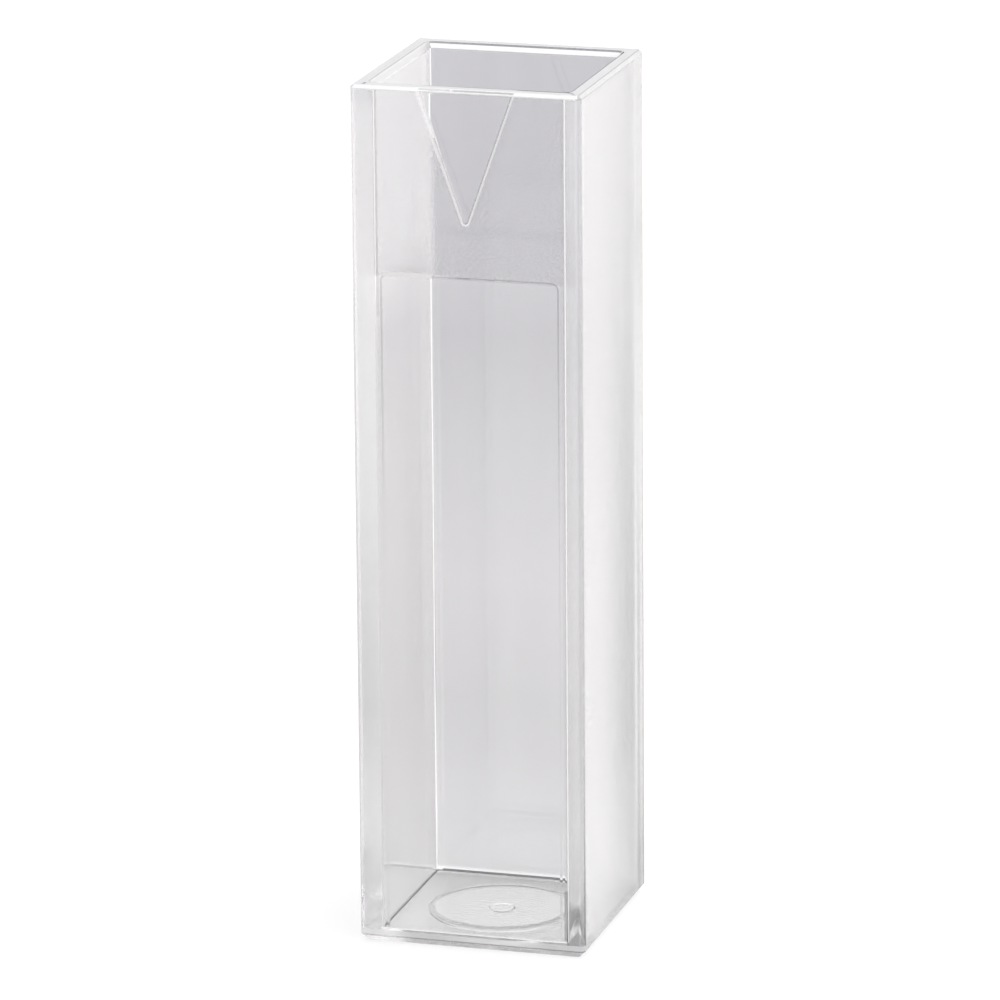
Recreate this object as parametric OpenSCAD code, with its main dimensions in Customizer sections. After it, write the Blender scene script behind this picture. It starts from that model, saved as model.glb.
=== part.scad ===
// Disposable cuvette for a spectrometer: a square tube of clear plastic, moulded in one piece,
// closed by a thin floor and open at the top. It stands on its foot with its front window facing -Y.

/* [Body] */
// Outside width of the square tube, the same both ways
side = 12; // [10.8:0.1:16]
// Height from the foot to the rim
height = 45; // [30:0.5:60]
// Thickness of the four walls, measured at the windows
wall = 1; // [0.8:0.05:1.5]
// Thickness of the floor
floor_t = 0.6; // [0.5:0.05:2]
// Radius of the four upright outer edges
edge_r = 0.3; // [0.1:0.05:0.5]
// Chamfer round the foot
foot_chamfer = 0.4; // [0.1:0.05:0.5]

/* [Mouth] */
// Width of the lead-in chamfer on the inner edge of the rim
lead_w = 0.25; // [0.05:0.05:0.35]
// Depth of the lead-in chamfer
lead_h = 0.35; // [0.1:0.05:0.8]
// Size of the broken outer edge of the rim
rim_break = 0.15; // [0.05:0.05:0.25]

/* [Windows] */
// Radius of the upright corners of the cavity
corner_r = 0.2; // [0.1:0.05:0.3]
// Distance from the rim down to the top edge of the two windows
window_drop = 9.7; // [8:0.1:15]
// Gap between each upright edge of a window and the side wall beside it
window_margin = 0.35; // [0.2:0.05:1.5]
// Radius of the upper corners of the windows
window_r = 0.4; // [0.25:0.05:1]
// How far each window is let into the wall round it
window_recess = 0.04; // [0.02:0.01:0.1]
// Width of the sloping edge of a window
window_slope = 0.08; // [0.04:0.01:0.2]

/* [Direction mark] */
// Width of the V-shaped mark at the rim
mark_w = 5.2; // [3:0.1:8]
// Height of the mark, from the rim to where its two sides would meet
mark_h = 7.3; // [4:0.1:7.6]
// Radius of the tip of the mark
mark_tip_r = 0.2; // [0.18:0.01:0.3]
// Depth of the mark in the front wall
mark_depth = 0.06; // [0.04:0.01:0.12]
// Width of the sloping edge of the mark
mark_slope = 0.14; // [0.05:0.01:0.16]

/* [Floor] */
// Diameter of the round pad in the middle of the floor
pad_d = 7.6; // [3:0.1:8]
// Height of the pad above the floor
pad_h = 0.07; // [0.03:0.01:0.3]
// Width of the sloping edge of the pad
pad_slope = 0.5; // [0.1:0.05:0.8]
// Depth of the round hollow under the pad
hollow_h = 0.15; // [0.05:0.05:0.3]
// Diameter of the stub left by the moulding gate
gate_d = 1.4; // [0.8:0.1:2.5]
// Gap between the gate stub and the surface that the foot stands on
gate_gap = 0.04; // [0.02:0.01:0.04]

/* [Hidden] */
$fn = 64;
over = 0.2; // how far a cut runs past the faces that it opens

cavity_w = side - 2 * wall;                // clear width, and the light path between the windows
narrow_d = cavity_w - 2 * window_recess;   // front to back, above and beside the windows
window_w = cavity_w - 2 * window_margin;
window_top = height - window_drop;

// Square corners moved in to the centres of their rounding
module at_corners(w, d, r)
    for (x = [-1, 1], y = [-1, 1])
        translate([x * (w / 2 - r), y * (d / 2 - r), 0]) children();

module rounded_rectangle(w, d, r) {
    square([w - 2 * r, d], center = true);
    square([w, d - 2 * r], center = true);
    at_corners(w, d, r) circle(r);
}

// Side view of the block: chamfered at the foot, edges broken at the rim
module block_profile()
    polygon([
        [-side / 2 + foot_chamfer, 0], [side / 2 - foot_chamfer, 0],
        [side / 2, foot_chamfer], [side / 2, height - rim_break],
        [side / 2 - rim_break, height], [-side / 2 + rim_break, height],
        [-side / 2, height - rim_break], [-side / 2, foot_chamfer]
    ]);

// Stands a shape drawn in X and Y upright, and pulls it to a given length along Y
module upright(length)
    rotate([90, 0, 0]) linear_extrude(length, center = true) children();

module block()
    intersection() {
        linear_extrude(height) rounded_rectangle(side, side, edge_r);
        upright(2 * side) block_profile();
        rotate([0, 0, 90]) upright(2 * side) block_profile();
    }

// Square funnel with rounded corners that opens by w / h on every side
module lead_in(across, deep, r, w, h) {
    rise = h + over;
    grow = w * rise / h;
    module flare(size)
        polygon([
            [-size / 2, 0], [size / 2, 0],
            [size / 2 + grow, rise], [-size / 2 - grow, rise]
        ]);
    upright(deep - 2 * r) flare(across);
    rotate([0, 0, 90]) upright(across - 2 * r) flare(deep);
    at_corners(across, deep, r) cylinder(h = rise, r1 = r, r2 = r + grow);
}

// Polished window: a shallow recess with sloping edges and two rounded upper corners.
// It opens at the plane y = 0, is cut towards +Y, and starts from the floor of the cavity.
module window() {
    reach = window_w / 2 - window_r;
    shoulder = window_top - window_r;
    translate([0, 0, floor_t])
        linear_extrude(shoulder - floor_t)
            polygon([
                [-window_w / 2, -over], [window_w / 2, -over], [window_w / 2, 0],
                [window_w / 2 - window_slope, window_recess],
                [-window_w / 2 + window_slope, window_recess], [-window_w / 2, 0]
            ]);
    rotate([90, 0, 90])
        linear_extrude(2 * reach, center = true)
            polygon([
                [-over, floor_t], [window_recess, floor_t], [window_recess, window_top - window_slope],
                [0, window_top], [-over, window_top]
            ]);
    for (x = [-reach, reach])
        translate([x, 0, shoulder]) rotate([-90, 0, 0]) {
            cylinder(h = window_recess, r1 = window_r, r2 = window_r - window_slope);
            translate([0, 0, -over]) cylinder(h = over, r = window_r);
        }
}

// The space for the sample, from the floor up through the mouth
module cavity() {
    translate([0, 0, floor_t])
        linear_extrude(height - floor_t + over)
            rounded_rectangle(cavity_w, narrow_d, corner_r);
    for (turn = [0, 180])
        rotate([0, 0, turn])
            translate([0, narrow_d / 2, 0]) window();
    translate([0, 0, height - lead_h])
        lead_in(cavity_w, narrow_d, corner_r, lead_w, lead_h);
}

// One sloping side of the mark, as everything on one side of a leaning plane
module mark_side(lean) {
    reach = 2 * height;
    spread = mark_slope * over / mark_depth;
    rotate([0, lean, 0])
        linear_extrude(reach, center = true)
            polygon([[spread, -over], [-mark_slope, mark_depth], [-side, mark_depth], [-side, -over]]);
}

// The V, with its point down. It is cut into the face y = 0 and opens at the rim.
module direction_mark() {
    lean = atan(mark_w / 2 / mark_h);
    tip_z = height - mark_h + mark_tip_r / sin(lean);
    spread = mark_slope * over / mark_depth;
    intersection() {
        translate([0, 0, height - mark_h]) mark_side(lean);
        translate([0, 0, height - mark_h]) mirror([1, 0, 0]) mark_side(lean);
        translate([-side / 2, -side / 2, tip_z - mark_tip_r * sin(lean)]) cube([side, side, height]);
    }
    translate([0, -over, tip_z]) rotate([-90, 0, 0])
        cylinder(h = over + mark_depth, r1 = mark_tip_r + spread, r2 = mark_tip_r - mark_slope);
}

// Hollow under the floor, so that the gate stub stays clear of what the foot stands on
module gate_hollow()
    difference() {
        translate([0, 0, -over]) cylinder(h = hollow_h + over, d = pad_d);
        translate([0, 0, gate_gap]) cylinder(h = hollow_h, d = gate_d);
    }

module cuvette()
    color([0.86, 0.89, 0.92, 0.55]) {
        difference() {
            block();
            cavity();
            translate([0, -side / 2, 0]) direction_mark();
            gate_hollow();
        }
        translate([0, 0, floor_t]) cylinder(h = pad_h, d1 = pad_d, d2 = pad_d - 2 * pad_slope);
    }

cuvette();
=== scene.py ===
import bpy
import bmesh
import math
from mathutils import Matrix, Vector


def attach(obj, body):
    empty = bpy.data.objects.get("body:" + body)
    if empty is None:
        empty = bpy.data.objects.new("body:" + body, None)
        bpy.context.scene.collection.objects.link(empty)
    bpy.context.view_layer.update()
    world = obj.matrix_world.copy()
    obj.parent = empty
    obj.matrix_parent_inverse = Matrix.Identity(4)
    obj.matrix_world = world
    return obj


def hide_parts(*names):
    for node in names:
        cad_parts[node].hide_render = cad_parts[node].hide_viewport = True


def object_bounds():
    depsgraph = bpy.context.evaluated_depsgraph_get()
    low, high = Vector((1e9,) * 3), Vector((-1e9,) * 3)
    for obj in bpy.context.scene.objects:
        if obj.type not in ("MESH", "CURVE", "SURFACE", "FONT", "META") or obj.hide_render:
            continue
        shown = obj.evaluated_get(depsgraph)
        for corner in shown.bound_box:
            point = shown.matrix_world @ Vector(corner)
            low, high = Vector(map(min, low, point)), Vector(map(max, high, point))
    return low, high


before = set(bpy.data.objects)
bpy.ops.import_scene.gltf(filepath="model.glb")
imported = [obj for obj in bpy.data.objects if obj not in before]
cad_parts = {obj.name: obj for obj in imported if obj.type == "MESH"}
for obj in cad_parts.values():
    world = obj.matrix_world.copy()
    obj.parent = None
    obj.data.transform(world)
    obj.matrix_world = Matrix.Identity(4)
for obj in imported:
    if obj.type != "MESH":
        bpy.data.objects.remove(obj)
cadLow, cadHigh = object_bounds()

mm = 0.001  # everything below is written in millimetres

tubeShape = {
    "side": round((cadHigh[0] - cadLow[0]) / mm, 3),  # outside width of the square tube
    "height": round((cadHigh[2] - cadLow[2]) / mm, 3),
    "wall": 1.0,
    "floorThickness": 0.6,
    "edgeRadius": 0.3,       # the four upright outer edges
    "leastRadius": 0.08,     # what is left of that on the slopes of the foot and the rim
    "footChamfer": 0.4,
    "footSoftness": 0.1,     # rounding along the chamfer's two edges
    "rimBreak": 0.15,        # broken outer edge of the rim
    "leadIn": (0.25, 0.35),  # width and depth of the funnel inside the rim
    "leadFoot": 0.1,         # rounding where the funnel meets the cavity
    "edgeSoftness": 0.05,    # rounding along the rim's edges
    "edgeLine": 0.10,        # width of the line along the rim's inner edge, painted dark at the front
    "cornerRadius": 0.2,     # upright corners of the cavity
    "floorFillet": 0.07,     # where the walls meet the floor
    "cornerSteps": 8,
    "sideColumns": (0.6, 0.2, -0.2, -0.6),       # places of the mesh's columns on a side, as shares
    "outerColumns": (4.8, 5.06, 5.2, 5.4),       # beside the window, on the outside
    "innerColumns": (4.70, 4.73, 4.76, 4.79),    # the same in the cavity
    "outerRows": (0.72, 8.0, 16.0, 24.0, 28.5, 31.0, 33.5),
    "bandRows": (36.6, 37.5, 39.2, 40.5, 42.5),  # more of them, beside the V
    "innerRows": (44.0, 42.0, 39.0, 36.5, 33.0, 28.0, 20.0, 12.0, 5.0, 3.4, 1.6),
}

windowShape = {
    "top": 35.3,             # height of the window's upper edge
    "halfWidth": 4.65,
    "radius": 0.4,           # its two upper corners
    "recess": 0.04,          # how far it is let into the wall
    "slope": 0.08,           # width of its sloping edge
    "step": 0.03,            # spacing of the mesh across that slope
    "reach": 0.48,           # how far in the fine mesh runs
    "rows": 19,              # rows of that mesh along the upper edge
    "rowsAbove": (0.02, 0.05),   # heights above that edge of the first of them, and of one row more
    "backColumns": (1.4, 2.8),
    "backShadeEdge": 5.45,        # the back wall's painted shade ends here, at either side
    "backShadeHeights": (0.4, 0.6, 44.7, 44.84),      # and fades in and out over these
}

markShape = {
    "width": 5.2,            # the V at the rim
    "height": 7.3,
    "tipRadius": 0.2,
    "depth": 0.06,
    "slope": 0.14,
    "brightLine": 0.07,      # the outer part of the slope, painted as a highlight line
    "frostBottom": 35.30,    # the frosted band ends here
    "bandFootHighlight": 0.22,       # width of the painted highlight line along its end
    "insets": (0.24, 0.17, 0.13, 0.10, 0.07, 0.04, 0.01, -0.03, -0.09),  # columns along its arms
    "packing": 0.012,        # spacing of those columns where they meet
    "armFoot": 0.15,         # those columns follow the V down to this far below its tip
    "tipFoot": 0.12,         # the fine rows at the tip start this far below it
    "tipRows": 24,
    "tipStep": 0.03,
    "gather": (0.4, 10.0),   # below the tip the columns spread out again between these
}

floorShape = {
    "padRadius": 3.8,
    "padHeight": 0.07,
    "padSlope": 0.25,
    "padSoftness": 0.12,
    "hollowDepth": 0.15,     # under the pad
    "hollowSlope": 0.08,
    "hollowSoftness": 0.03,
    "stubRadius": 0.7,       # left by the moulding gate
    "stubSlope": 0.08,
    "stubGap": 0.04,
}


def smoothStep(a, b, value):
    t = min(1.0, max(0.0, (value - a) / (b - a)))
    return t * t * (3 - 2 * t)


def mix(a, b, t):
    return a + (b - a) * t


def slopeProfile(inset, width, rounding=0.025):
    # 0 outside an edge, 1 inside it, with a straight slope and rounded ends
    def ease(v):  # integral of a step softened over the rounding
        if v < -rounding:
            return 0.0
        if v > rounding:
            return v
        return (v + rounding) ** 2 / (4 * rounding)
    return (ease(inset) - ease(inset - width)) / width


# the V in the front face

vLean = math.atan(markShape["width"] / 2 / markShape["height"])
vTipZ = tubeShape["height"] - markShape["height"] + markShape["tipRadius"] / math.sin(vLean)


def insideMark(x, z):
    # distance in from the V's outline, negative outside it
    ax, az = abs(x), z - vTipZ
    along = ax * math.sin(vLean) + az * math.cos(vLean)
    if along > 0:
        return az * math.sin(vLean) - ax * math.cos(vLean) + markShape["tipRadius"]
    return markShape["tipRadius"] - math.hypot(ax, az)


def markDepth(x, z):
    return markShape["depth"] * slopeProfile(insideMark(x, z), markShape["slope"])


def markColumn(inset, z, floorX):
    # x where the V's right arm, moved in by inset, crosses the height z
    az = z - vTipZ
    x = (az * math.sin(vLean) + markShape["tipRadius"] - inset) / math.cos(vLean)
    radius = markShape["tipRadius"] - inset
    if x * math.sin(vLean) + az * math.cos(vLean) < 0:  # on the rounded tip
        x = math.sqrt(max(0.0, radius * radius - az * az)) if radius > 0 else 0.0
    return max(x, floorX)


# the windows on the inner walls

def insideWindow(x, z):
    dx = windowShape["halfWidth"] - abs(x)
    dz = windowShape["top"] - z
    r = windowShape["radius"]
    if dx < r and dz < r:
        return r - math.hypot(r - dx, r - dz)
    return min(dx, dz)


def windowDepth(x, z):
    return windowShape["recess"] * slopeProfile(insideWindow(x, z), windowShape["slope"])


# columns round the tube

fineCount = round(windowShape["reach"] / windowShape["step"])
windowColumns = sorted(windowShape["halfWidth"] - windowShape["step"] * (i - 1) for i in range(fineCount))


def mirrored(right):
    return [-x for x in reversed(right)] + [0.0] + right


def markSpread(z):
    # x of the columns that follow the V's right arm at the height z
    insets = markShape["insets"]
    packed = [markShape["packing"] * (i + 1.5) for i in range(len(insets))]
    if z > vTipZ - markShape["tipRadius"] - markShape["armFoot"]:
        return [markColumn(i, z, p) for i, p in zip(insets, packed)]
    atRim = [markColumn(i, tubeShape["height"], p) for i, p in zip(insets, packed)]
    near, far = markShape["gather"]
    back = smoothStep(vTipZ - near, vTipZ - far, z)
    return [mix(p, a, back) for p, a in zip(packed, atRim)]


def frontColumns(z, outside):
    # x of every column on the front, from left to right
    arm = markSpread(z)
    between = [mix(arm[-1], windowColumns[0], t) for t in (0.33, 0.67)]
    beside = tubeShape["outerColumns" if outside else "innerColumns"]
    return mirrored([arm[0] / 2] + arm + between + windowColumns + list(beside))


def backColumns(z, outside):
    right = list(windowShape["backColumns"]) + windowColumns
    if outside:  # the outermost column marks where the back wall's painted shade ends
        low, high, fall, end = windowShape["backShadeHeights"]
        moved = smoothStep(low, high, z) * (1 - smoothStep(fall, end, z))
        right[-1] = mix(right[-1], windowShape["backShadeEdge"], moved)
    return mirrored(right)


def ringPoints(halfX, halfY, centreX, centreY, frontX, backX):
    # one closed loop, anticlockwise from the front left corner; corners turn about (centreX, centreY)
    steps = tubeShape["cornerSteps"]
    points, walls = [], []

    def corner(sx, sy, start):
        rx, ry = halfX - centreX, halfY - centreY
        for i in range(steps + 1):
            a = math.radians(start + 90 * i / steps)
            points.append([sx * centreX + rx * math.cos(a), sy * centreY + ry * math.sin(a)])
            walls.append("corner")

    def straight(wall, placed):
        for point in placed:
            points.append(point)
            walls.append(wall)

    corner(-1, -1, 180)
    straight("front", [[x, -halfY] for x in frontX])
    corner(1, -1, 270)
    straight("right", [[halfX, -t * centreY] for t in tubeShape["sideColumns"]])
    corner(1, 1, 0)
    straight("back", [[x, halfY] for x in reversed(backX)])
    corner(-1, 1, 90)
    straight("left", [[-halfX, t * centreY] for t in tubeShape["sideColumns"]])
    return points, walls


# the section, from under the floor, up the outside and down the inside

lineEnd = 0.5   # length of the two stretches that only give a bent line its direction
support = 0.03  # from a rounding to the row that holds its shape


def softened(corners):
    # rounds a bent line: each corner is (half width, height, rounding, tag)
    rows = []
    for i, (h, z, rounding, tag) in enumerate(corners):
        if rounding == 0:
            rows.append((h, z, tag))
            continue
        here = Vector((h, z))
        back = (Vector(corners[i - 1][:2]) - here).normalized()
        on = (Vector(corners[i + 1][:2]) - here).normalized()
        turn = math.pi - back.angle(on)
        reach = rounding * math.tan(turn / 2)
        a, b = here + back * reach, here + on * reach
        steps = max(3, round(math.degrees(turn) / 15))
        rows.append((*(a + back * support), tag))
        middle = here + (back + on).normalized() * (rounding / math.cos(turn / 2))
        startArm, endArm = a - middle, b - middle
        for s in range(steps + 1):
            t = s / steps
            arm = (startArm * math.sin((1 - t) * turn) + endArm * math.sin(t * turn)) / math.sin(turn)
            rows.append((*(middle + arm), tag))
        rows.append((*(b + on * support), tag))
    return rows[1:-1]


def underRows():
    f = floorShape
    soft, depth = f["hollowSoftness"], f["hollowDepth"]
    return softened([
        (0.0, f["stubGap"], 0, "under"),
        (f["stubRadius"] - f["stubSlope"], f["stubGap"], soft, "under"),
        (f["stubRadius"], depth, soft, "under"),
        (f["padRadius"] - f["hollowSlope"], depth, soft, "under"),
        (f["padRadius"], 0.0, soft, "under"),
        (f["padRadius"] + lineEnd, 0.0, 0, "under"),
    ])


def padRows():
    f, z = floorShape, tubeShape["floorThickness"]
    return softened([
        (f["padRadius"] + lineEnd, z, 0, "pad"),
        (f["padRadius"], z, f["padSoftness"], "pad"),
        (f["padRadius"] - f["padSlope"], z + f["padHeight"], f["padSoftness"], "pad"),
        (0.0, z + f["padHeight"], 0, "pad"),
    ])


def wallRows():
    t = tubeShape
    half, top = t["side"] / 2, t["height"]
    inner = half - t["wall"]
    soft = t["edgeSoftness"]
    leadWidth, leadDepth = t["leadIn"]
    line = t["edgeLine"] / math.hypot(leadWidth, leadDepth)
    bends = softened([
        (half - t["footChamfer"] - lineEnd, 0.0, 0, "outer"),
        (half - t["footChamfer"], 0.0, t["footSoftness"], "outer"),
        (half, t["footChamfer"], t["footSoftness"], "outer"),
        (half, top - t["rimBreak"], soft, "outer"),
        (half - t["rimBreak"], top, soft, "rim"),
        (inner + leadWidth + t["edgeLine"], top, 0, "rimLine"),
        (inner + leadWidth, top, soft, "edge"),
        (inner + leadWidth * (1 - line), top - leadDepth * line, 0, "lead"),
        (inner, top - leadDepth, t["leadFoot"], "inner"),
        (inner, t["floorThickness"], t["floorFillet"], "fillet"),
        (inner - lineEnd, t["floorThickness"], 0, "floor"),
    ])
    rows = []
    for here, on in zip(bends, bends[1:] + bends[-1:]):
        rows.append(here)
        if on[1] - here[1] > top / 2:
            rows += [(half, z, "outer") for z in outerHeights()]
        elif here[1] - on[1] > top / 2:
            rows += [(inner, z, "inner") for z in innerHeights()]
    rows[-1] = (*rows[-1][:2], "floor")
    return rows


def outerHeights():
    # rows up the outside, close together at the end of the frosted band and at the V's tip
    bandFoot, line = markShape["frostBottom"], markShape["bandFootHighlight"]
    tipFoot = vTipZ - markShape["tipRadius"] - markShape["tipFoot"]
    tip = [tipFoot + markShape["tipStep"] * i for i in range(markShape["tipRows"])]
    return sorted([*tubeShape["outerRows"], bandFoot, bandFoot + line, *tubeShape["bandRows"], *tip])


def innerHeights():
    # rows down the inside, close together at the window's upper edge
    top, step = windowShape["top"], windowShape["step"]
    start, above = windowShape["rowsAbove"]
    fine = [top + start - step * i for i in range(windowShape["rows"])]
    return sorted([*tubeShape["innerRows"], top + above, *fine], reverse=True)


def ringFor(h, z, tag):
    t = tubeShape
    half, inner = t["side"] / 2, t["side"] / 2 - t["wall"]
    if tag in ("outer", "rim", "rimLine"):
        centre = min(half - t["edgeRadius"], h - t["leastRadius"])
        front, back = frontColumns(z, True), backColumns(z, True)
        points, walls = ringPoints(h, h, centre, centre, front, back)
        for p, wall in zip(points, walls):
            if wall == "front":
                p[1] += markDepth(p[0], z)
    else:
        closer = windowShape["recess"]  # the wall is this much thicker round the windows
        centre = inner - t["cornerRadius"]
        front, back = frontColumns(t["height"], False), backColumns(z, False)
        points, walls = ringPoints(h, h - closer, centre, centre - closer, front, back)
        for p, wall in zip(points, walls):
            if wall in ("front", "back"):
                p[1] += math.copysign(windowDepth(p[0], z), p[1])
    return [Vector((x, y, z)) for x, y in points]


def discFor(r, z, square):
    return [Vector((p.x, p.y, 0)).normalized() * r + Vector((0, 0, z)) for p in square]


# which finish the skin has where, painted highlight and painted shade lines among them

skinPlaces = {
    # x is to the right of the middle, z above the foot
    "sideSkin": 0.09,           # the skin of a side or the front begins this near the outside
    "backSkin": 0.05,
    "cavitySkin": 0.15,         # the same for the cavity's front wall, with its window
    "filletSkin": 0.3,          # and for the rounding at its foot
    "pastBend": 0.04,           # the finishes of the foot and the rim go this far past the bend
    "pastFootEdge": 0.05,
    "pastLeadIn": 0.05,
    "rimLine": 0.06,            # width of the painted highlight line along the rim's front
    "pastMark": 0.02,           # the V's painted highlight begins this far outside it
    "rightRim": 0.2,            # width of the painted darker strip along the rim's right
    "rimDarkFrom": -2.3,        # the rim's inner edge is painted dark from here to the right
    "sillLightTo": -2.27,       # the window's upper edge is light up to here
    "rightBorder": (0.01, 0.08),   # painted shade line on the window's right border, from inset to inset
    "leftBorder": (-0.03, 0.09),
    "cornerFootTop": 3.4,
    "cornerShadeFrom": 33.0,
    "footBandTop": 0.72,
    "turnEdge": (36, 56, 80),   # degrees round the front right edge: clear, then painted dark
    "turnLine": (22, 45),       # the same on the other upright edges: clear, then a painted shade line
    "leftLine": (-4.6, 35.2),   # painted dark line on the left, from this x to the left and this z up
    "bandLine": (-4.45, -1.5, -1.0),  # painted highlight line along the band's foot: strong, then faint
    "markShadeFrom": -1.8,      # left of this the V's painted highlight and shade lines are fainter
    "backCornerTo": -5.5,
}


def rimFinish(tag, p):
    half, inner = tubeShape["side"] / 2, tubeShape["side"] / 2 - tubeShape["wall"]
    dark = p.x > skinPlaces["rimDarkFrom"]
    # the rim's top, with a painted darker strip at its right
    if tag == "rim":
        return "dimEdge" if p.x > half - skinPlaces["rightRim"] else "matteRim"
    # the lead-in: painted highlight at the back, painted shade elsewhere
    if tag == "lead":
        return "highlightEdge" if p.y > inner else "leadIn"
    # a painted dark line along the rim's front inner edge
    if tag == "rimLine":
        return "darkEdge" if dark and -p.y > abs(p.x) else "matteRim"
    if p.x < -inner and abs(p.y) < inner + skinPlaces["pastLeadIn"]:
        return "dimEdge"
    if p.y > inner:
        return "shadedEdge" if p.y > p.x else "matteRim"
    return "darkEdge" if dark else "matteRim"


def filletFinish(p):
    # the rounding at the floor: a painted black line, except at the front and the upper half on the left
    near = tubeShape["side"] / 2 - tubeShape["wall"] - skinPlaces["filletSkin"]
    middle = tubeShape["floorThickness"] + tubeShape["floorFillet"] / 2
    if p.y < -near or p.x < -near and p.z > middle:
        return "clearPlastic"
    return "floorShadeLine"


def cavityFinish(p):
    inner = tubeShape["side"] / 2 - tubeShape["wall"]
    if p.y < skinPlaces["cavitySkin"] - inner:
        inset = insideWindow(p.x, p.z)
        # below the window's top its side borders get painted shade lines; along the top, a frosted line
        if windowShape["top"] - p.z > windowShape["slope"]:
            low, high = skinPlaces["rightBorder" if p.x > 0 else "leftBorder"]
            if low < inset < high:
                return "windowEdge"
        elif inset > -windowShape["step"] and p.x < skinPlaces["sillLightTo"]:
            return "windowTop"
    cornerFrom = inner - tubeShape["cornerRadius"] - windowShape["recess"]
    # the cavity's front corners get painted shade lines
    if p.y < 0 and min(abs(p.x), abs(p.y)) > cornerFrom:
        if p.x > 0:
            return "cornerFoot" if p.z < skinPlaces["cornerFootTop"] else "cornerLine"
        return "cornerShade" if p.z > skinPlaces["cornerShadeFrom"] else "clearPlastic"
    return "clearPlastic"


def frontFinish(p, top):
    beside, lineFrom, lineTo, _ = tubeShape["outerColumns"]
    leftFrom, leftFoot = skinPlaces["leftLine"]
    # the rim's front edge: a painted highlight line
    if p.z > top - skinPlaces["rimLine"]:
        return "highlightEdge"
    # painted dark lines beside the window
    if lineFrom < p.x < lineTo or p.z > leftFoot and -beside < p.x < leftFrom:
        return "cornerStrip"
    # below the band: painted shade strips beside the window
    if p.z < markShape["frostBottom"]:
        if p.x > lineTo:
            return "rightStrip"
        return "frontStrip" if p.x < -beside else "clearPlastic"
    inset = insideMark(p.x, p.z)
    if inset > markShape["slope"]:
        return "markFloor"
    start, middle, end = skinPlaces["bandLine"]
    # a painted highlight line along the band's foot
    if p.z < markShape["frostBottom"] + markShape["bandFootHighlight"] and start < p.x < end:
        return "bandFootHighlight" if p.x < middle else "bandFootHighlightFaint"
    if inset < -skinPlaces["pastMark"]:
        return "frostedBand"
    # the V's slope: painted highlight on its outer part, painted shade on its inner part, both fainter over
    # the left
    strong = p.x > skinPlaces["markShadeFrom"]
    if inset < markShape["brightLine"]:
        return "highlightEdge" if strong else "faintHighlightEdge"
    return "shadedEdge" if strong else "softShade"


def uprightFinish(p, centre):
    # on the rounding of the four upright edges; None where it belongs to the side
    turn = math.degrees(math.atan2(abs(p.x) - centre, abs(p.y) - centre))
    clearFrom, darkFrom, darkTo = skinPlaces["turnEdge"]
    lineFrom, lineTo = skinPlaces["turnLine"]
    # the front right edge: a clear strip, then a painted dark line
    if p.x > 0 > p.y and clearFrom < turn < darkTo:
        return "cornerEdge" if turn > darkFrom else "clearPlastic"
    # the other upright edges: clear, then a painted shade line
    if turn < lineTo:
        return "clearPlastic" if turn < lineFrom else "uprightLine"
    return None


def outerFinish(p):
    half, top = tubeShape["side"] / 2, tubeShape["height"] - tubeShape["rimBreak"]
    centre, bend = half - tubeShape["edgeRadius"], tubeShape["footChamfer"]
    side = half - skinPlaces["sideSkin"]
    if p.z < bend - skinPlaces["pastBend"]:
        return "frostedFoot"
    # the front of the foot: a painted dark line at the chamfer's edge, and above it a milky band of painted
    # light
    if p.y < -centre and p.z < skinPlaces["footBandTop"]:
        return "footEdge" if p.z < bend + skinPlaces["pastFootEdge"] else "footBand"
    # the rim's outer right edge: a painted darker strip
    if p.z > top - skinPlaces["pastBend"] and p.x > half - skinPlaces["rightRim"]:
        return "dimEdge"
    upright = None
    if min(abs(p.x), abs(p.y)) > centre and p.z < top:
        upright = uprightFinish(p, centre)
    if upright:
        return upright
    # the frosted sides, with painted shade in their tones
    if abs(p.x) > side:
        return "frostedRightShaded" if p.x > 0 else "frostedLeftShaded"
    if p.y < -side:
        return frontFinish(p, top)
    # the back wall and its left corner, with painted shade in their tones
    if p.y > half - skinPlaces["backSkin"]:
        return "backWallShade" if p.x > skinPlaces["backCornerTo"] else "backCornerShade"
    return "clearPlastic"


def finishAt(tag, p):
    # the finish at a point of the section's stretch named by tag
    plain = {"under": "frostedFoot", "pad": "frostedPad", "floor": "floorLedge"}
    if tag in plain:
        return plain[tag]
    if tag == "fillet":
        return filletFinish(p)
    if tag == "inner":
        return cavityFinish(p)
    if tag == "outer":
        return outerFinish(p)
    return rimFinish(tag, p)


# finishes

plasticLook = {
    "index": 1.59,           # polystyrene
    "polish": 0.02,
    "clearTint": (0.995, 0.99, 0.995),
    "streakWidth": 0.8,      # upright streaks, and how much they tone each kind of wall
    "clearStreaks": 0.02,
    "sideStreaks": 0.04,
    "wallStreaks": 0.05,
    "ripple": 0.001,         # depth of the faint waves in the clear walls
    "ledge": [(0.0, 0.85), (0.5, 0.8), (0.8, 0.62), (0.878, 0.55), (0.885, 1.0), (1.0, 1.0)],  # painted shade on the cavity floor round the pad, front to back
    "footSpeckle": [(0.0, 1.0), (0.08, 0.6), (0.25, 0.1), (1.0, 0.0)],  # more of it towards the foot
}

frostLook = {
    # size of one grain, its depth, how uneven the gloss is, how much the tone varies
    "polished": {"grain": 0.5, "depth": 0.0004, "patchiness": 0.04, "speckle": 0.02},
    "side": {"grain": 0.04, "depth": 0.014, "patchiness": 0.04, "speckle": 0.04},
    "lowWall": {"grain": 0.08, "depth": 0.0, "patchiness": 0.0, "speckle": 0.24},
    "band": {"grain": 0.1, "depth": 0.006, "patchiness": 0.08, "speckle": 0.28},
    "rim": {"grain": 0.10, "depth": 0.02, "patchiness": 0.2, "speckle": 0.02},
    "pad": {"grain": 0.10, "depth": 0.05, "patchiness": 0.2, "speckle": 0.22},
    "foot": {"grain": 0.12, "depth": 0.015, "patchiness": 0.2, "speckle": 0.06},
}

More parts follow.
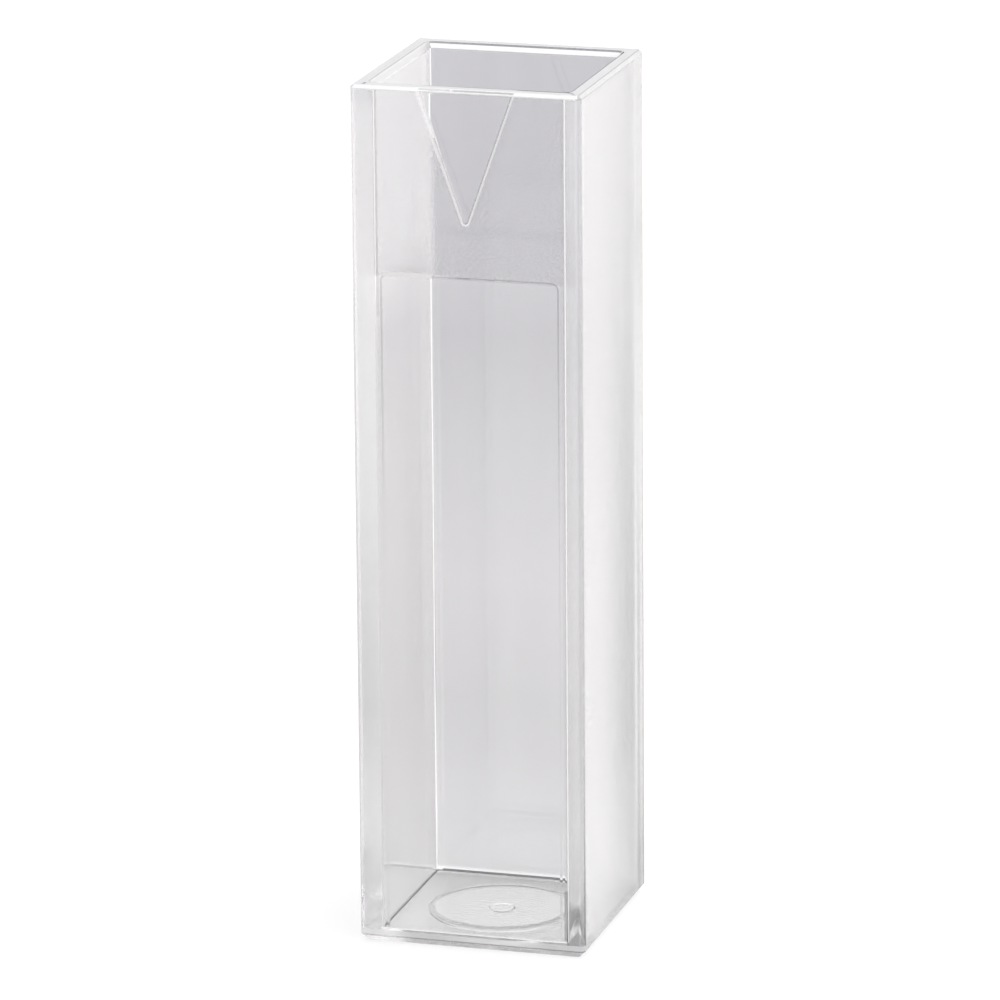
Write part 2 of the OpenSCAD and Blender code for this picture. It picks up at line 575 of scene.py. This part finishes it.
sideLook = {
    # painted shade: tones from foot to rim; then tones from front to back, each with its weight from foot to
    # rim, darkening the sides as the room's light fell on them, the left far darker than the right
    "frostedRightShaded": {
        "tones": [
            (0.0, (0.995, 0.97, 0.972)), (0.2, (0.99, 0.962, 0.964)), (0.5, (0.975, 0.945, 0.947)),
            (0.85, (0.94, 0.91, 0.912)), (1.0, (0.93, 0.90, 0.902)),
        ],
        "depths": [
            ([(0.0, 1.0), (0.30, 0.96), (0.46, 0.80), (0.60, 0.50), (0.70, 0.36), (0.80, 0.34), (0.825, 0.36),
              (0.85, 0.94), (1.0, 0.85)],
             [(0.0, 0.6), (0.12, 0.72), (0.2, 0.95), (0.35, 1.0), (0.6, 0.78), (0.8, 0.42), (1.0, 0.3)]),
            ([(0.0, 1.0), (0.80, 1.0), (0.87, 0.5), (1.0, 0.5)],
             [(0.0, 0.3), (0.5, 0.0), (0.7, 0.3), (0.8, 0.95), (1.0, 1.0)]),
            ([(0.0, 1.0), (0.865, 1.0), (0.88, 0.35), (0.912, 0.35), (0.93, 1.0), (0.948, 1.0), (0.965, 0.25),
              (1.0, 0.25)],
             [(0.0, 1.0), (0.35, 1.0), (0.5, 0.5), (0.62, 0.2), (1.0, 0.0)]),
        ],
    },
    "frostedLeftShaded": {
        "tones": [
            (0.0, (0.34, 0.33, 0.328)), (0.085, (0.26, 0.252, 0.252)), (0.2, (0.24, 0.231, 0.229)),
            (0.37, (0.26, 0.25, 0.246)), (0.55, (0.31, 0.298, 0.294)), (0.70, (0.32, 0.309, 0.305)),
            (0.745, (0.47, 0.453, 0.45)), (0.785, (0.78, 0.752, 0.747)), (0.84, (0.87, 0.84, 0.835)),
            (1.0, (0.93, 0.90, 0.895)),
        ],
        "depths": [
            ([(0.0, 1.0), (0.45, 0.90), (0.78, 0.52), (0.84, 0.95), (1.0, 1.0)],
             [(0.0, 0.5), (0.15, 0.7), (0.35, 1.0), (0.6, 0.8), (0.8, 0.4), (1.0, 0.2)]),
            ([(0.0, 1.0), (0.90, 1.0), (0.93, 0.6), (1.0, 0.6)],
             [(0.0, 0.5), (0.5, 0.4), (0.75, 0.7), (0.85, 1.0), (1.0, 1.0)]),
        ],
    },
}

wallLook = {
    # painted shade: tones from foot to rim, and for some also from left to right
    # painted shade: the grey that the room behind gives the back wall, varying with height
    "backWallShade": {
        "tones": [
            (0.0, (0.80, 0.79, 0.81)), (0.0125, (0.80, 0.79, 0.81)), (0.0145, (0.36, 0.355, 0.365)),
            (0.05, (0.335, 0.33, 0.341)), (0.167, (0.233, 0.226, 0.235)), (0.22, (0.215, 0.209, 0.216)),
            (0.37, (0.252, 0.243, 0.253)), (0.52, (0.205, 0.20, 0.213)), (0.66, (0.156, 0.151, 0.167)),
            (0.74, (0.186, 0.181, 0.20)), (0.87, (0.195, 0.19, 0.211)), (1.0, (0.212, 0.206, 0.229)),
        ],
        "across": [(0.0, 1.0), (0.08, 0.92), (0.5, 0.84), (0.89, 0.84), (0.93, 0.85), (1.0, 0.85)],
    },
    # painted shade down the back wall's left corner, by height
    "backCornerShade": {
        "tones": [
            (0.0, (0.34, 0.33, 0.33)), (0.07, (0.60, 0.58, 0.58)), (0.12, (0.50, 0.485, 0.485)),
            (0.235, (0.10, 0.097, 0.097)), (0.36, (0.19, 0.183, 0.181)), (0.47, (0.28, 0.27, 0.267)),
            (0.70, (0.40, 0.385, 0.38)), (0.80, (0.80, 0.77, 0.765)), (0.88, (0.88, 0.85, 0.84)),
            (1.0, (0.93, 0.90, 0.89)),
        ],
        "across": [(0.0, 0.8), (0.05, 1.0), (1.0, 1.0)],
    },
    # painted shade: the strip left of the window on the front, darker in bands by height and towards the left
    "frontStrip": {
        "tones": [(0.0, 0.85), (0.05, 0.86), (0.09, 0.98), (0.14, 0.97), (0.25, 0.80), (0.33, 0.80),
                  (0.5, 0.90), (0.75, 0.95), (1.0, 1.0)],
        "across": [(0.0, 0.85), (0.04, 0.9), (0.07, 1.0), (1.0, 1.0)],
    },
    # painted shade along the window's side borders, darker towards its top
    "windowEdge": {"tones": [(0.0, 1.0), (0.35, 1.0), (0.5, 0.88), (0.6, 0.7), (0.79, 0.45), (1.0, 0.45)]},
    # painted shade: dark upright lines beside the window, darker towards the foot
    "cornerStrip": {"tones": [(0.0, 0.35), (0.06, 0.45), (0.1, 0.6), (1.0, 0.6)]},
    # painted shade: the strip right of the window, darker towards the foot
    "rightStrip": {"tones": [(0.0, 0.75), (0.025, 0.8), (0.06, 0.92), (0.1, 1.0), (1.0, 1.0)]},
    # painted shade: a dark line down the front right edge, darkest at the foot
    "cornerEdge": {"tones": [(0.0, 0.1), (0.1, 0.3), (0.2, 0.55), (0.4, 0.7), (0.7, 0.85), (1.0, 0.95)]},
}

edgeLook = {
    # tone, the share of the surface that is milky rather than clear, and the frost it has; most of these
    # tones and milky shares paint shade or highlight lines
    "frostedBand": ((0.928, 0.923, 0.93), 0.05, "band"),
    "windowTop": ((0.99, 0.98, 0.985), 0.0, "rim"),
    # painted shade: tinted lines on the cavity's front corners, darkest near the foot on the right, and on
    # the upright outer edges
    "cornerLine": ((0.90, 0.89, 0.90), 0.0, "polished"),
    "cornerShade": ((0.72, 0.715, 0.72), 0.0, "polished"),
    "cornerFoot": ((0.35, 0.345, 0.35), 0.0, "polished"),
    "uprightLine": ((0.82, 0.81, 0.82), 0.0, "polished"),
    "matteRim": ((0.94, 0.93, 0.95), 0.9, "rim"),
    # painted shade: the grey milky lead-in, and the same greyed strip along the rim's right edge and the left
    # lead-in edge
    "leadIn": ((0.54, 0.525, 0.532), 0.85, "rim"),
    "dimEdge": ((0.58, 0.572, 0.576), 0.85, "rim"),
    # painted shade: a near-black line along the rim's front inner edge
    "darkEdge": ((0.15, 0.15, 0.16), 0.2, "rim"),
    # painted highlight: milky white lines on the V's outer slope, the rim's front and the back of the
    # lead-in; fainter left of the V
    "highlightEdge": ((0.995, 0.99, 0.995), 1.0, "rim"),
    "faintHighlightEdge": ((0.95, 0.94, 0.95), 0.3, "rim"),
    # painted shade: the V's inner slope and the rim's inner edge at the back; softer left of the V
    "shadedEdge": ((0.42, 0.42, 0.44), 0.1, "rim"),
    "softShade": ((0.86, 0.85, 0.86), 0.1, "rim"),
    # painted shade: the V's recessed floor tinted grey
    "markFloor": ((0.82, 0.81, 0.825), 0.0, "polished"),
    # painted highlight: a milky white line along the frosted band's foot over the left, fainter towards the V
    "bandFootHighlight": ((0.995, 0.98, 0.98), 1.0, "rim"),
    "bandFootHighlightFaint": ((0.97, 0.955, 0.96), 0.16, "rim"),
    # painted shade: a near-black line where the walls meet the floor
    "floorShadeLine": ((0.02, 0.02, 0.022), 0.3, "rim"),
    "frostedPad": ((0.995, 0.99, 0.995), 0.0, "pad"),
    "frostedFoot": ((0.99, 0.985, 0.99), 0.0, "foot"),
    # painted shade: a dark line along the foot's front edge; the milky white band above it is painted light
    "footEdge": ((0.45, 0.445, 0.45), 0.0, "rim"),
    "footBand": ((0.99, 0.98, 0.99), 0.55, "rim"),
}


def startGroup(name, sockets):
    group = bpy.data.node_groups.new(name, "ShaderNodeTree")
    for socket, kind, way, value in sockets:
        made = group.interface.new_socket(name=socket, in_out=way, socket_type=kind)
        if value is not None:
            made.default_value = value
    return group, group.nodes.new("NodeGroupInput"), group.nodes.new("NodeGroupOutput")


def mathNode(nodes, links, operation, a, b):
    made = nodes.new("ShaderNodeMath")
    made.operation = operation
    for socket, value in ((made.inputs[0], a), (made.inputs[1], b)):
        if isinstance(value, (int, float)):
            socket.default_value = value
        else:
            links.new(value, socket)
    return made.outputs[0]


def noiseNode(nodes, links, vector, scale, detail):
    made = nodes.new("ShaderNodeTexNoise")
    made.inputs["Detail"].default_value = detail
    links.new(vector, made.inputs["Vector"])
    if isinstance(scale, float):
        made.inputs["Scale"].default_value = scale
    else:
        links.new(scale, made.inputs["Scale"])
    return made


def fleckTones(nodes, links, pattern, low, high, strength):
    # white where the pattern is above high, darker by the strength where it is below low
    made = nodes.new("ShaderNodeMapRange")
    made.inputs["From Min"].default_value = low
    made.inputs["From Max"].default_value = high
    made.inputs["To Max"].default_value = 1.0
    links.new(mathNode(nodes, links, "SUBTRACT", 1.0, strength), made.inputs["To Min"])
    links.new(pattern, made.inputs["Value"])
    return made.outputs["Result"]


def frostGroup():
    # fine grain of the frosted surfaces, with patches of duller gloss
    group, put, out = startGroup("frostGrain", [
        ("Grain Size", "NodeSocketFloat", "INPUT", 0.1),
        ("Patchiness", "NodeSocketFloat", "INPUT", 0.3),
        ("Speckle", "NodeSocketFloat", "INPUT", 0.1),
        ("Height", "NodeSocketFloat", "OUTPUT", None),
        ("Roughness", "NodeSocketFloat", "OUTPUT", None),
        ("Tone", "NodeSocketColor", "OUTPUT", None),
    ])
    nodes, links = group.nodes, group.links
    place = nodes.new("ShaderNodeTexCoord").outputs["Object"]
    scale = mathNode(nodes, links, "DIVIDE", 1 / mm, put.outputs["Grain Size"])
    grain = noiseNode(nodes, links, place, scale, 2.0)
    grain.inputs["Roughness"].default_value = 0.6
    patches = noiseNode(nodes, links, place, 0.9 / mm, 3.0)
    gloss = mathNode(nodes, links, "MULTIPLY", patches.outputs["Fac"], put.outputs["Patchiness"])
    tone = fleckTones(nodes, links, grain.outputs["Fac"], 0.35, 0.65, put.outputs["Speckle"])
    links.new(grain.outputs["Fac"], out.inputs["Height"])
    links.new(gloss, out.inputs["Roughness"])
    links.new(tone, out.inputs["Tone"])
    return group


def flowGroup():
    # faint upright streaks that the plastic keeps from flowing into the mould
    group, put, out = startGroup("mouldFlow", [
        ("Width", "NodeSocketFloat", "INPUT", 0.5),
        ("Strength", "NodeSocketFloat", "INPUT", 0.05),
        ("Tone", "NodeSocketColor", "OUTPUT", None),
        ("Height", "NodeSocketFloat", "OUTPUT", None),
    ])
    nodes, links = group.nodes, group.links
    stretch = nodes.new("ShaderNodeVectorMath")
    stretch.operation = "MULTIPLY"
    stretch.inputs[1].default_value = (1.0, 1.0, 0.06)
    links.new(nodes.new("ShaderNodeTexCoord").outputs["Object"], stretch.inputs[0])
    scale = mathNode(nodes, links, "DIVIDE", 1 / mm, put.outputs["Width"])
    streaks = noiseNode(nodes, links, stretch.outputs["Vector"], scale, 3.0).outputs["Fac"]
    tone = fleckTones(nodes, links, streaks, 0.3, 0.7, put.outputs["Strength"])
    links.new(tone, out.inputs["Tone"])
    links.new(streaks, out.inputs["Height"])
    return group


frostGrain = frostGroup()
mouldFlow = flowGroup()


def startMaterial(name, milky=0.0):
    material = bpy.data.materials.new(name)
    material.use_nodes = True
    nodes, links = material.node_tree.nodes, material.node_tree.links
    shader = nodes["Principled BSDF"]
    shader.inputs["Transmission Weight"].default_value = 1.0 - milky
    shader.inputs["IOR"].default_value = plasticLook["index"]
    shader.inputs["Metallic"].default_value = 0.0
    shader.inputs["Roughness"].default_value = plasticLook["polish"]
    return material, nodes, links, shader


def times(nodes, links, a, b, weight=None):
    both = nodes.new("ShaderNodeMix")
    both.data_type = "RGBA"
    both.blend_type = "MULTIPLY"
    both.inputs["Factor"].default_value = 1.0
    if weight is not None:
        links.new(weight, both.inputs["Factor"])
    for socket, value in ((both.inputs["A"], a), (both.inputs["B"], b)):
        if isinstance(value, tuple):
            socket.default_value = (*value, 1)
        else:
            links.new(value, socket)
    return both.outputs["Result"]


def ramp(nodes, links, fac, stops):
    tones = nodes.new("ShaderNodeValToRGB")
    for i, (where, tone) in enumerate(stops):
        if i == 0 or i == len(stops) - 1:
            stop = tones.color_ramp.elements[0 if i == 0 else -1]
            stop.position = where
        else:
            stop = tones.color_ramp.elements.new(where)
        stop.color = (*tone, 1) if isinstance(tone, tuple) else (tone, tone, tone, 1)
    links.new(fac, tones.inputs["Fac"])
    return tones.outputs["Color"]


def share(nodes, links, axis):
    # how far along the tube a point lies: 0 to 1 from left to right, front to back or foot to rim
    half = tubeShape["side"] / 2
    low, high = (0, tubeShape["height"]) if axis == "Z" else (-half, half)
    split = nodes.new("ShaderNodeSeparateXYZ")
    links.new(nodes.new("ShaderNodeTexCoord").outputs["Object"], split.inputs[0])
    along = nodes.new("ShaderNodeMapRange")
    along.inputs["From Min"].default_value = low * mm
    along.inputs["From Max"].default_value = high * mm
    links.new(split.outputs[axis], along.inputs["Value"])
    return along.outputs["Result"]


def addBump(nodes, links, shader, height, depth):
    bump = nodes.new("ShaderNodeBump")
    bump.inputs["Strength"].default_value = 1.0
    bump.inputs["Distance"].default_value = depth * mm
    links.new(height, bump.inputs["Height"])
    links.new(bump.outputs["Normal"], shader.inputs["Normal"])


def placeFrost(nodes, part):
    look = frostLook[part]
    frost = nodes.new("ShaderNodeGroup")
    frost.node_tree = frostGrain
    frost.inputs["Grain Size"].default_value = look["grain"]
    frost.inputs["Patchiness"].default_value = look["patchiness"]
    frost.inputs["Speckle"].default_value = look["speckle"]
    return frost


def addFrost(nodes, links, shader, part):
    frost = placeFrost(nodes, part)
    addBump(nodes, links, shader, frost.outputs["Height"], frostLook[part]["depth"])
    links.new(frost.outputs["Roughness"], shader.inputs["Roughness"])
    return frost.outputs["Tone"]


def addFlow(nodes, links, shader, strength, ripple=0.0):
    flow = nodes.new("ShaderNodeGroup")
    flow.node_tree = mouldFlow
    flow.inputs["Width"].default_value = plasticLook["streakWidth"]
    flow.inputs["Strength"].default_value = strength
    if ripple:
        addBump(nodes, links, shader, flow.outputs["Height"], ripple)
    return flow.outputs["Tone"]


def clearPlastic(name):
    material, nodes, links, shader = startMaterial(name)
    flow = addFlow(nodes, links, shader, plasticLook["clearStreaks"], plasticLook["ripple"])
    links.new(times(nodes, links, plasticLook["clearTint"], flow), shader.inputs["Base Color"])
    return material


def floorLedge(name):
    material, nodes, links, shader = startMaterial(name)
    speckle = addFrost(nodes, links, shader, "foot")
    tones = ramp(nodes, links, share(nodes, links, "Y"), plasticLook["ledge"])
    links.new(times(nodes, links, tones, speckle), shader.inputs["Base Color"])
    return material


# a clear wall whose tones are painted shade, by height and for some also across
def tonedWall(name):
    look = wallLook[name]
    material, nodes, links, shader = startMaterial(name)
    flow = addFlow(nodes, links, shader, plasticLook["wallStreaks"], plasticLook["ripple"])
    height = share(nodes, links, "Z")
    tone = times(nodes, links, ramp(nodes, links, height, look["tones"]), flow)
    if "across" in look:
        tone = times(nodes, links, tone, ramp(nodes, links, share(nodes, links, "X"), look["across"]))
    low = ramp(nodes, links, height, plasticLook["footSpeckle"])
    tone = times(nodes, links, tone, placeFrost(nodes, "lowWall").outputs["Tone"], low)
    links.new(tone, shader.inputs["Base Color"])
    return material


# a frosted side whose tones carry painted shade by height and by depth
def frostedSide(name):
    look = sideLook[name]
    material, nodes, links, shader = startMaterial(name)
    height, depth = share(nodes, links, "Z"), share(nodes, links, "Y")
    flow = addFlow(nodes, links, shader, plasticLook["sideStreaks"])
    speckle = addFrost(nodes, links, shader, "side")
    tone = times(nodes, links, ramp(nodes, links, height, look["tones"]), times(nodes, links, flow, speckle))
    for tones, weight in look["depths"]:
        tone = times(nodes, links, tone, ramp(nodes, links, depth, tones), ramp(nodes, links, height, weight))
    links.new(tone, shader.inputs["Base Color"])
    return material


# one finish of a single tone; most of them paint a shade or highlight line
def edgeFinish(name):
    tone, milky, frost = edgeLook[name]
    material, nodes, links, shader = startMaterial(name, milky)
    speckle = addFrost(nodes, links, shader, frost)
    links.new(times(nodes, links, tone, speckle), shader.inputs["Base Color"])
    return material


finishes = {"clearPlastic": clearPlastic("clearPlastic"), "floorLedge": floorLedge("floorLedge")}
finishes.update({name: frostedSide(name) for name in sideLook})
finishes.update({name: tonedWall(name) for name in wallLook})
finishes.update({name: edgeFinish(name) for name in edgeLook})
print("finishes:", len(finishes), "kinds of moulded surface")


# the tube itself

def makeTube():
    side = wallRows()
    footSquare, floorSquare = ringFor(*side[0]), ringFor(*side[-1])
    section = [(tag, discFor(h, z, footSquare)) for h, z, tag in underRows()]
    section += [(row[2], ringFor(*row)) for row in side]
    section += [(tag, discFor(h, z, floorSquare)) for h, z, tag in padRows()]

    names = list(finishes)
    bm = bmesh.new()
    grid = [[bm.verts.new(p * mm) for p in ring] for _, ring in section]
    count = len(grid[0])
    low = bm.verts.new(Vector((0, 0, floorShape["stubGap"])) * mm)
    high = bm.verts.new(Vector((0, 0, tubeShape["floorThickness"] + floorShape["padHeight"])) * mm)
    for j in range(count):
        k = (j + 1) % count
        bm.faces.new((low, grid[0][k], grid[0][j])).material_index = names.index("frostedFoot")
        bm.faces.new((high, grid[-1][j], grid[-1][k])).material_index = names.index("clearPlastic")
    for (tag, _), ring, nextRing in zip(section, grid, grid[1:]):
        for j in range(count):
            k = (j + 1) % count
            face = bm.faces.new((ring[j], ring[k], nextRing[k], nextRing[j]))
            face.material_index = names.index(finishAt(tag, face.calc_center_median() / mm))
    for face in bm.faces:
        face.smooth = True
    bmesh.ops.recalc_face_normals(bm, faces=bm.faces)
    mesh = bpy.data.meshes.new("cuvetteTube")
    bm.to_mesh(mesh)
    bm.free()
    for name in names:
        mesh.materials.append(finishes[name])
    tube = bpy.data.objects.new("cuvetteTube", mesh)
    bpy.context.scene.collection.objects.link(tube)
    return tube


tube = makeTube()
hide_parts("cuvette")
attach(tube, "root")
print("tube:", len(tube.data.vertices), "points", len(tube.data.polygons), "faces")


# floor, light and camera

studio = {
    "floorSize": 20000.0,
    "floorGap": 0.02,       # keeps the floor just clear of the foot
    "floorTone": 0.30,
    # what is seen of the floor beyond its own tone
    "floorLift": {"Is Camera Ray": 0.78, "Is Glossy Ray": 0.95, "Is Transmission Ray": 1.0},
    "brightSide": (0.6, -0.8, 0.0),  # the room is lightest this way
    "roomBright": 1.0,
    "roomDim": 0.45,
    # place, width and height, and power
    "overhead": ((80, 60, 420), (360, 360), 0.7),
    "rightSoftbox": ((300, 380, 90), (600, 450), 1.5),
    "frontSoftbox": ((-120, -420, 160), (600, 450), 0.45),
    "aim": (0, 0, 22),
}


def makeFloor():
    half, z = studio["floorSize"] / 2 * mm, -studio["floorGap"] * mm
    mesh = bpy.data.meshes.new("studioFloor")
    corners = [(-half, -half, z), (half, -half, z), (half, half, z), (-half, half, z)]
    mesh.from_pydata(corners, [], [(0, 1, 2, 3)])
    floor = bpy.data.objects.new("studioFloor", mesh)
    bpy.context.scene.collection.objects.link(floor)
    material = bpy.data.materials.new("floorPaper")
    material.use_nodes = True
    nodes, links = material.node_tree.nodes, material.node_tree.links
    shader = nodes["Principled BSDF"]
    shader.inputs["Base Color"].default_value = (*[studio["floorTone"]] * 3, 1)
    shader.inputs["Roughness"].default_value = 0.9
    shader.inputs["Specular IOR Level"].default_value = 0.0
    shader.inputs["Emission Color"].default_value = (1, 1, 1, 1)
    path = nodes.new("ShaderNodeLightPath")
    strength = None
    for ray, lift in studio["floorLift"].items():
        part = mathNode(nodes, links, "MULTIPLY", path.outputs[ray], lift)
        strength = part if strength is None else mathNode(nodes, links, "MAXIMUM", strength, part)
    links.new(strength, shader.inputs["Emission Strength"])
    floor.data.materials.append(material)


def makeRoom():
    world = bpy.data.worlds.new("room")
    bpy.context.scene.world = world
    world.use_nodes = True
    nodes, links = world.node_tree.nodes, world.node_tree.links
    background = nodes["Background"]
    background.inputs["Color"].default_value = (1, 1, 1, 1)
    facing = nodes.new("ShaderNodeVectorMath")
    facing.operation = "DOT_PRODUCT"
    facing.inputs[1].default_value = studio["brightSide"]
    across = nodes.new("ShaderNodeMapRange")
    across.inputs["From Min"].default_value = -1.0
    across.inputs["To Min"].default_value = studio["roomDim"]
    across.inputs["To Max"].default_value = studio["roomBright"]
    links.new(nodes.new("ShaderNodeTexCoord").outputs["Generated"], facing.inputs[0])
    links.new(facing.outputs["Value"], across.inputs["Value"])
    camera = nodes.new("ShaderNodeLightPath").outputs["Is Camera Ray"]
    seen = mathNode(nodes, links, "MAXIMUM", across.outputs["Result"], camera)  # plain white past the floor
    links.new(seen, background.inputs["Strength"])


def makeLamp(name):
    place, size, power = studio[name]
    lamp = bpy.data.lights.new(name, "AREA")
    lamp.shape = "RECTANGLE"
    lamp.size, lamp.size_y = size[0] * mm, size[1] * mm
    lamp.energy = power
    holder = bpy.data.objects.new(name, lamp)
    holder.location = Vector(place) * mm
    holder.rotation_euler = (Vector(studio["aim"]) - Vector(place)).to_track_quat("-Z", "Y").to_euler()
    holder.visible_camera = False
    bpy.context.scene.collection.objects.link(holder)


def makeStudio():
    makeFloor()
    makeRoom()
    for name in ("overhead", "rightSoftbox", "frontSoftbox"):
        makeLamp(name)
    scene = bpy.context.scene
    scene.view_settings.view_transform = "Standard"
    scene.cycles.glossy_bounces = 16  # light crosses many walls of clear plastic
    scene.cycles.transmission_bounces = 16
    scene.cycles.max_bounces = 20


cameraPlace = {
    "azimuth": 16.207,
    "elevation": 15.279,
    "roll": -0.452,
    "distance": 374.449,
    "target": (-0.055, 0.0, 22.351),
    "lens": 263.31,
}


def makeCamera():
    place = cameraPlace
    azimuth, elevation, roll = (math.radians(place[angle]) for angle in ("azimuth", "elevation", "roll"))
    level = math.cos(elevation)
    back = Vector((math.sin(azimuth) * level, -math.cos(azimuth) * level, math.sin(elevation)))
    right = (-back).cross(Vector((0, 0, 1))).normalized()
    up = right.cross(-back)
    right, up = (math.cos(roll) * right + math.sin(roll) * up, -math.sin(roll) * right + math.cos(roll) * up)
    lens = bpy.data.cameras.new("studioCamera")
    lens.sensor_width = 36
    lens.lens = place["lens"]
    lens.clip_start, lens.clip_end = 0.01, 20
    camera = bpy.data.objects.new("studioCamera", lens)
    bpy.context.scene.collection.objects.link(camera)
    turn = Matrix((right, up, back)).transposed()
    stand = (Vector(place["target"]) + back * place["distance"]) * mm
    camera.matrix_world = Matrix.Translation(stand) @ turn.to_4x4()
    bpy.context.scene.camera = camera


makeStudio()
makeCamera()
print("studio: floor, lamps and camera")
